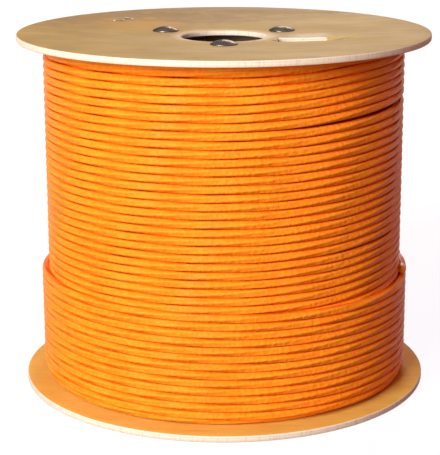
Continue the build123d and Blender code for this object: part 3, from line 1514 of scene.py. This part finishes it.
@dataclass
class TieBolts:
    """Three dome-headed bolts that clamp the flanges on the barrel, and their tee nuts.

    Attributes:
        steel: Material of them all.
        circle_radius: Radius of the circle they stand on.
        count: Number of bolts.
        first_angle: Angle of the first, in degrees from +X.
        seat: Height of the hub that the heads lie on.
        foot: Height of the lower end of the shanks.
        head_radius: Radius of a head.
        head_height: Height of its dome.
        head_edge: Height of its upright edge.
        neck_half: Half the width of the square neck.
        neck_length: Length of the neck.
        shank_radius: Radius of the shank.
        nut_seat: Height of the hub that the tee nuts lie against.
        nut_radius: Radius of a tee nut's flange.
        nut_sheet: Its thickness.
        nut_bore: Radius of its thread.
        nut_barrel: Radius of its barrel.
        nut_barrel_length: Length of its barrel.
        prong_inside: Distance of a prong's inner side from the nut's axis.
        prong_outside: Distance of its outer side.
        prong_half: Half its width.
        prong_height: Its height.
        thread_pitch: Pitch of the thread.
        thread_length: Length of the thread.
        thread_depth: How far the threaded end is turned down.
    """

    steel: Material
    circle_radius: float = 66.5 * MM
    count: int = 3
    first_angle: float = -90.0
    seat: float = 340.5 * MM
    foot: float = 3.1 * MM
    head_radius: float = 12.7 * MM
    head_height: float = 4.4 * MM
    head_edge: float = 0.9 * MM
    neck_half: float = 5.15 * MM
    neck_length: float = 4.5 * MM
    shank_radius: float = 4.95 * MM
    nut_seat: float = 4.5 * MM
    nut_radius: float = 12.7 * MM
    nut_sheet: float = 1.5 * MM
    nut_bore: float = 5.02 * MM
    nut_barrel: float = 6.2 * MM
    nut_barrel_length: float = 5 * MM
    prong_inside: float = 10.3 * MM
    prong_outside: float = 11.3 * MM
    prong_half: float = 1.7 * MM
    prong_height: float = 4.2 * MM
    thread_pitch: float = 1.5 * MM
    thread_length: float = 26 * MM
    thread_depth: float = 0.5 * MM

    def set_round(self, piece: Piece, tree: Tree) -> None:
        """Sets three of a piece on the bolt circle."""
        first_angle = math.radians(self.first_angle)
        run_modifier(piece, tree, RoundAxis(self.steel, self.count, self.circle_radius, first_angle))

    def head(self) -> Mesh:
        """Turns the head, a low dome on an upright edge."""
        radius, edge = self.head_radius, self.head_edge
        rise = self.head_height - edge
        dome = (radius**2 + rise**2) / (2 * rise)
        points = []
        for step in range(13):
            reach = radius * 0.97 * step / 12
            drop = dome - math.sqrt(dome**2 - reach**2)
            points.append((reach, self.seat + self.head_height - drop))
        # The upright edge, as shares of the radius and of the edge's height
        for out, up in ((0.99, 1.02), (1.0, 0.7), (1.0, 0.25), (0.985, 0.0), (0.0, 0.0)):
            points.append((radius * out, self.seat + edge * up))
        return turned(points, 72)

    def bolts(self, tree: Tree) -> Piece:
        """Builds one bolt and sets three of them in the flanges.

        Args:
            tree: The tree that repeats a piece round the axis.

        Returns:
            The piece.
        """
        mesh = self.head()
        radius, root = self.shank_radius, self.shank_radius - self.thread_depth
        top, foot = self.seat - self.neck_length + 0.2 * MM, self.foot
        profile = (
            (0.0, top),
            (radius, top),
            (radius, foot + self.thread_length + 1 * MM),
            (root, foot + self.thread_length),
            (root, foot + 0.6 * MM),
            (root - 0.5 * MM, foot),
            (0.0, foot),
        )
        add_part(mesh, turned(profile, 32))
        neck = bmesh.new()
        bmesh.ops.create_cube(neck, size=1.0)
        scale = Vector((2 * self.neck_half, 2 * self.neck_half, self.neck_length))
        bmesh.ops.scale(neck, vec=scale, verts=neck.verts)
        middle = Vector((0.0, 0.0, self.seat - self.neck_length / 2 + 0.05 * MM))
        bmesh.ops.translate(neck, vec=middle, verts=neck.verts)
        bmesh.ops.bevel(neck, geom=neck.edges[:], offset=0.4 * MM, segments=2, affect="EDGES")
        add_part(mesh, neck)
        piece = object_from(mesh, "tie_bolts")
        self.set_round(piece, tree)
        piece.data.set_sharp_from_angle(angle=math.radians(35))
        return settle(piece, "zinc_steel", "tie_bolt_front", "tie_bolt_back_left", "tie_bolt_back_right")

    def threads(self, tree: Tree) -> Piece:
        """Winds a thread and sets it on each bolt."""
        turns = (self.thread_length - 1.5 * MM) / self.thread_pitch
        core, ridge = self.shank_radius - 0.62 * MM, self.thread_pitch * 0.49
        piece = object_from(bmesh.new(), "bolt_threads")
        thread = Thread(self.steel, turns, core, self.foot + 1 * MM, self.thread_pitch, ridge)
        run_modifier(piece, thread_tree(), thread)
        self.set_round(piece, tree)
        return settle(piece, "zinc_steel")

    def prong(self, degrees: float) -> Mesh:
        """One prong of a tee nut, a thin pointed plate."""
        mesh = bmesh.new()
        outline = ((-self.prong_half, 0.0), (self.prong_half, 0.0), (0.0, self.prong_height))
        front, back = (
            [mesh.verts.new((x, y, self.nut_seat + z)) for y, z in outline]
            for x in (self.prong_inside, self.prong_outside)
        )
        mesh.faces.new(front)
        mesh.faces.new(back[::-1])
        skin(mesh, (back, front))
        keep_outwards(mesh)
        turn = Matrix.Rotation(math.radians(degrees), 3, "Z")
        bmesh.ops.rotate(mesh, cent=(0, 0, 0), matrix=turn, verts=mesh.verts)
        return mesh

    def nuts(self, tree: Tree) -> Piece:
        """Builds one tee nut and sets three of them in the bottom flange.

        Args:
            tree: The tree that repeats a piece round the axis.

        Returns:
            The piece.
        """
        bore, barrel, rim = self.nut_bore, self.nut_barrel, self.nut_radius
        seat, low = self.nut_seat, self.nut_seat - self.nut_sheet
        bend = 0.5 * MM
        profile = (
            (bore, low + 0.3 * MM),
            (bore + 0.4 * MM, low),
            (rim - bend, low),
            (rim - 0.15 * MM, low + 0.15 * MM),
            (rim, low + bend),
            (rim, seat - 0.1 * MM),
            (rim - 0.2 * MM, seat),
            (barrel + bend, seat),
            (barrel, seat + bend),
            (barrel, seat + self.nut_barrel_length),
            (bore, seat + self.nut_barrel_length),
        )
        mesh = turned(profile, 64, closed=True)
        for degrees in (45.0, 135.0, 225.0, 315.0):
            add_part(mesh, self.prong(degrees))
        piece = object_from(mesh, "tee_nut_set")
        self.set_round(piece, tree)
        piece.data.set_sharp_from_angle(angle=math.radians(35))
        return settle(piece, "zinc_steel", "tee_nuts")

    def build(self) -> None:
        """Builds the bolts, their threads and the tee nuts."""
        tree = around_axis_tree()
        self.bolts(tree)
        self.threads(tree)
        self.nuts(tree)


@dataclass(frozen=True)
class Staple:
    """Wire staple left in the top flange, half pulled out.

    Attributes:
        x: Place of its first leg along X.
        y: Place of its first leg along Y.
        degrees: Way that its crown points.
        reach: Length of the crown.
        lift: How far the far leg stands out of the wood.
    """

    x: float
    y: float
    degrees: float
    reach: float
    lift: float

    def route(self, top: float) -> list[Vector]:
        """Points along its wire, for the height of the wood at its first leg."""
        turn = math.radians(self.degrees)
        ahead = Vector((math.cos(turn), math.sin(turn), 0.0))
        start = Vector((self.x, self.y, top))
        steps = (
            (0.0, -3 * MM),
            (0.0, 0.2 * MM),
            (self.reach * 0.15, 0.9 * MM),
            (self.reach * 0.55, 0.6 * MM + self.lift * 0.6),
            (self.reach, self.lift),
            (self.reach + 1.5 * MM, self.lift * 0.25),
        )
        return [start + ahead * along + Vector((0.0, 0.0, up)) for along, up in steps]


@dataclass
class Staples:
    """The wire staples in the top flange.

    Attributes:
        flange: The flange that holds them.
        wire_radius: Radius of the wire.
        each: The staples.
    """

    flange: Flange
    wire_radius: float = 0.55 * MM
    each: tuple[Staple, ...] = (
        Staple(-113 * MM, 92 * MM, 8.0, 10 * MM, 1.0 * MM),
        Staple(-104 * MM, 108 * MM, -28.0, 11 * MM, 0.7 * MM),
    )

    def build(self, steel: Material) -> Piece:
        """Bends the wires.

        Args:
            steel: Material of the wire.

        Returns:
            The piece.
        """
        curve = bpy.data.curves.new("staple_wires", "CURVE")
        curve.dimensions = "3D"
        curve.bevel_depth = self.wire_radius
        curve.bevel_resolution = 3
        curve.use_fill_caps = True
        for staple in self.each:
            route = staple.route(self.flange.point(staple.x, staple.y, 0.0).z)
            spline = curve.splines.new("NURBS")
            spline.points.add(len(route) - 1)
            for point, spot in zip(spline.points, route):
                point.co = (*spot, 1.0)
            spline.order_u = 3
            spline.use_endpoint_u = True
        holder = linked("staple_wires", curve)
        evaluated = holder.evaluated_get(bpy.context.evaluated_depsgraph_get())
        data = bpy.data.meshes.new_from_object(evaluated)
        bpy.data.objects.remove(holder)
        mesh = bmesh.new()
        mesh.from_mesh(data)
        bmesh.ops.remove_doubles(mesh, verts=mesh.verts, dist=WELD)
        keep_outwards(mesh)
        return settle(object_from(mesh, "top_staples", steel, sharp_degrees=60.0), "zinc_steel")


# Studio


@dataclass(frozen=True)
class PhotoCamera:
    """Camera at the photograph's place, solved from the flanges' ellipses.

    Attributes:
        frame_side: The photograph's long side, in pixels.
        focal_pixels: Focal length, in pixels.
        distance: Distance from the drum's axis.
        height: Height above the base.
        pitch: Angle below level, in radians.
        yaw: Angle to the right, in radians.
        roll: Angle clockwise, in radians.
        sensor: Width of the sensor, in millimetres.
    """

    frame_side: int = 455
    focal_pixels: float = 1522.9
    distance: float = 1.4741
    height: float = 0.5351
    pitch: float = 0.257
    yaw: float = -0.0028
    roll: float = -0.0029
    sensor: float = 36.0

    def build(self) -> None:
        """Sets up the scene's camera."""
        data = bpy.data.cameras.new("photo_camera")
        data.sensor_width = self.sensor
        data.lens = self.focal_pixels * self.sensor / self.frame_side
        data.clip_start = 0.05
        data.clip_end = 60.0
        level = Vector((math.cos(self.yaw), -math.sin(self.yaw), 0.0))
        reach = math.cos(self.pitch)
        ahead = Vector((math.sin(self.yaw) * reach, math.cos(self.yaw) * reach, -math.sin(self.pitch)))
        upward = level.cross(ahead)
        right = level * math.cos(self.roll) + upward * math.sin(self.roll)
        above = upward * math.cos(self.roll) - level * math.sin(self.roll)
        turn = Matrix((right, above, -ahead)).transposed()
        camera = linked("photo_camera", data)
        camera.matrix_world = Matrix.Translation((0.0, -self.distance, self.height)) @ turn.to_4x4()
        bpy.context.scene.camera = camera


@dataclass(frozen=True)
class Lamp:
    """Soft box that points at the drum.

    Attributes:
        name: Its name.
        azimuth: Degrees from the viewer's side towards +X.
        elevation: Degrees above level.
        distance: Distance from the drum's middle.
        size: Width of the box.
        power: Power in watts.
        colour: Colour of its light.
    """

    name: str
    azimuth: float
    elevation: float
    distance: float
    size: float
    power: float
    colour: Colour

    def build(self, target: Vector) -> None:
        """Hangs the lamp so that it lights the target."""
        data = bpy.data.lights.new(self.name, "AREA")
        data.shape = "SQUARE"
        data.size = self.size
        data.energy = self.power
        data.color = self.colour
        turn, rise = math.radians(self.azimuth), math.radians(self.elevation)
        out = Vector((math.sin(turn) * math.cos(rise), -math.cos(turn) * math.cos(rise), math.sin(rise)))
        lamp = linked(self.name, data)
        lamp.location = target + out * self.distance
        lamp.rotation_euler = (-out).to_track_quat("-Z", "Y").to_euler()


@dataclass(frozen=True)
class Studio:
    """Plain pale floor, soft lamps and a white surround.

    Attributes:
        floor_half: Half the floor's width.
        floor_height: Height of the floor.
        floor_white: White that the floor shows to the camera on top of its own light.
        floor_paper: Colour of the floor as the lamps light it.
        near: Distance from the drum where the floor starts to turn white.
        far: Distance where it is white.
        ambient: Strength of the even light from all round.
        ambient_colour: Its colour.
        aim: Height that the lamps point at.
        lamps: The soft boxes.
    """

    floor_half: float = 9.0
    floor_height: float = -0.2 * MM
    floor_white: Colour = (0.875, 0.91, 0.95)
    floor_paper: Colour = (0.22, 0.125, 0.08)
    near: float = 0.35
    far: float = 1.4
    ambient: float = 0.3
    ambient_colour: Colour = (1.0, 0.25, 0.15)
    aim: float = 0.19
    lamps: tuple[Lamp, ...] = (
        Lamp("key_box", -30.0, 22.0, 2.6, 1.4, 102.0, (1.0, 0.98, 0.92)),
        Lamp("back_box", 172.0, 26.0, 2.4, 0.7, 20.0, (1.0, 0.98, 0.94)),
    )

    def seen_directly(self, nodes: Nodes) -> Value:
        """1 for the rays that show this surface itself or its reflection."""
        path = nodes.add("ShaderNodeLightPath").outputs
        camera, glossy, through = (
            Value(nodes, path[f"Is {kind} Ray"]) for kind in ("Camera", "Glossy", "Transmission")
        )
        return nodes.math("MINIMUM", camera + glossy + through, 1.0)

    def floor(self) -> None:
        """Lays the floor."""
        material = bpy.data.materials.new("floor_paper")
        nodes = Nodes.blank(material)
        paper = nodes.out("ShaderNodeBsdfDiffuse", {"Color": self.floor_paper})
        x, y, _ = nodes.parts(nodes.out("ShaderNodeTexCoord", output="Object"))
        away = nodes.math("SQRT", x * x + y * y).ramp(self.near, self.far)
        white = nodes.blend(away, self.floor_white, WHITE)
        glow = nodes.out("ShaderNodeEmission", {"Color": white, "Strength": self.seen_directly(nodes)})
        both = nodes.out("ShaderNodeAddShader", {0: paper, 1: glow})
        nodes.add("ShaderNodeOutputMaterial", {"Surface": both})
        mesh = bmesh.new()
        bmesh.ops.create_grid(mesh, x_segments=2, y_segments=2, size=self.floor_half)
        bmesh.ops.translate(mesh, vec=(0.0, 0.0, self.floor_height), verts=mesh.verts)
        piece = object_from(mesh, "studio_floor", material)

    def surround(self) -> None:
        """Makes the world white to look at and even as a light."""
        world = bpy.data.worlds.new("studio_surround")
        nodes = Nodes.blank(world)
        values = {"Color": self.ambient_colour, "Strength": self.ambient}
        even = nodes.out("ShaderNodeBackground", values)
        white = nodes.out("ShaderNodeBackground", {"Color": WHITE, "Strength": 1.0})
        mixed = nodes.out("ShaderNodeMixShader", {0: self.seen_directly(nodes), 1: even, 2: white})
        nodes.add("ShaderNodeOutputWorld", {"Surface": mixed})
        bpy.context.scene.world = world

    def build(self) -> None:
        """Sets up the lamps, the floor and the surround."""
        for lamp in self.lamps:
            lamp.build(Vector((0.0, 0.0, self.aim)))
        self.floor()
        self.surround()
        bpy.context.scene.view_settings.view_transform = "Standard"


# The drum


# Marks on the top flange: place and half size in millimetres, colour, strength, raggedness
TOP_MARKS = (
    # Painted shade: darkens the far left of the face
    ((-120, 120, 345), (170, 110, 60), (0.32, 0.21, 0.09), 0.62, 0.3),
    # Painted shade: darkens the far side of the face
    ((30, 185, 345), (220, 95, 60), (0.32, 0.22, 0.09), 0.6, 0.3),
    ((-86, 70, 345), (60, 62, 30), (0.6, 0.39, 0.09), 0.65, 0.4),
    ((116, -21.5, 340), (26, 3, 2), (0.4, 0.33, 0.19), 0.9, 0.05),
    # Painted sheen: a pale patch on the face behind the start slot
    ((84, -8, 341), (26, 22, 20), (0.8, 0.74, 0.58), 0.6, 0.3),
    # Painted light: a pale band along the near side of the ramp, where its slope catches the light
    ((106, -45, 341), (17, 6, 20), (0.8, 0.72, 0.58), 0.55, 0.2),
    ((48, -41, 341), (4, 5, 20), (0.28, 0.12, 0.06), 0.8, 0.1),
    ((29, -38, 341), (4, 4, 20), (0.3, 0.14, 0.07), 0.7, 0.1),
)


@dataclass
class CableDrum:
    """The whole drum, sub-assembly by sub-assembly."""

    effects: Effects = field(default_factory=Effects)
    bolt_circle: float = 66.5 * MM
    bolt_angles: tuple[float, ...] = (-90.0, 150.0, 30.0)

    def bolt_holes(self, radius: float) -> tuple[Outline, ...]:
        """Outlines of the three holes on the bolt circle."""
        places = [math.radians(angle) for angle in self.bolt_angles]
        centres = [(self.bolt_circle * math.cos(a), self.bolt_circle * math.sin(a)) for a in places]
        return tuple(Outline.circle(centre, radius, 32, 0.2 * MM) for centre in centres)

    def flanges(self) -> Flange:
        """Builds both flanges.

        Returns:
            The top flange, which the staples are set in.
        """
        marks = tuple(
            Mark(tuple(part * MM for part in place), tuple(part * MM for part in half), *rest)
            for place, half, *rest in TOP_MARKS
        )
        # Painted light: the inner faces are painted orange for the light that the winding bounces onto them
        inside = {"light": (0.78, 0.49, 0.11), "dark": (0.7, 0.4, 0.075), "pore": (0.44, 0.23, 0.04)}
        top_veneer = Veneer(name="ply_veneer_top", marks=marks).make(self.effects)
        bottom_veneer = Veneer(name="ply_veneer_bottom").make(self.effects)
        inner = Veneer(name="ply_veneer_inside", **inside).make(self.effects)
        cut_ply = CutPly().make(self.effects)
        slot = Outline((75 * MM, -35.5 * MM), 24 * MM, 14 * MM, 2 * MM, 0.4 * MM, 8, 16)
        top = Flange(FlangeEnd.TOP, 345 * MM, (*self.bolt_holes(7.4 * MM), slot), Ramp())
        bottom = Flange(FlangeEnd.BOTTOM, 0.0, self.bolt_holes(6.45 * MM))
        top.build(top_veneer, cut_ply, inner)
        bottom.build(bottom_veneer, cut_ply, inner)
        return top

    def barrel(self) -> None:
        """Dresses the CAD barrel in board."""
        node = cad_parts["barrel"]
        board = RawBoard().make(self.effects)
        for holder in node.material_slots:
            holder.material = board
        log.info("barrel: CAD node in %s", board.name)

    def build(self) -> None:
        """Builds every sub-assembly in order."""
        greys = {"bright": (0.5, 0.47, 0.44), "dull": (0.25, 0.22, 0.2), "edge": (0.7, 0.68, 0.66)}
        # Painted shade: the cable deep in the winding is dark red, for the shade in the gaps between turns
        painted_gap_shade_reds = {"fresh": (0.5, 0.04, 0.004), "deep": (0.4, 0.025, 0.003)}
        sheath = Sheath().make(self.effects)
        steel = ZincSteel().make(self.effects)
        wire = ZincSteel("staple_wire", 0.3, **greys).make(self.effects)
        depth = Sheath("cable_depth_painted_shade", 0.6, **painted_gap_shade_reds).make(self.effects)
        cap = PlainPlastic("end_cap", 0.45, colour=(0.9, 0.3, 0.015)).make(self.effects)
        tape = PlainPlastic("end_tape", 0.5, colour=(0.62, 0.45, 0.25)).make(self.effects)
        top = self.flanges()
        self.barrel()
        winding = Winding(sheath, depth)
        outer = winding.build()
        cable_end = CableEnd()
        cable_end.cap(outer, winding.part_layer.sides, cap)
        cable_end.tape(tape)
        TieBolts(steel).build()
        Staples(top).build(wire)


def main() -> None:
    """Sets up the studio and builds the drum."""
    logging.basicConfig(level=logging.INFO, format="%(name)s: %(message)s")
    PhotoCamera().build()
    Studio().build()
    CableDrum().build()


if __name__ == "__main__":
    main()
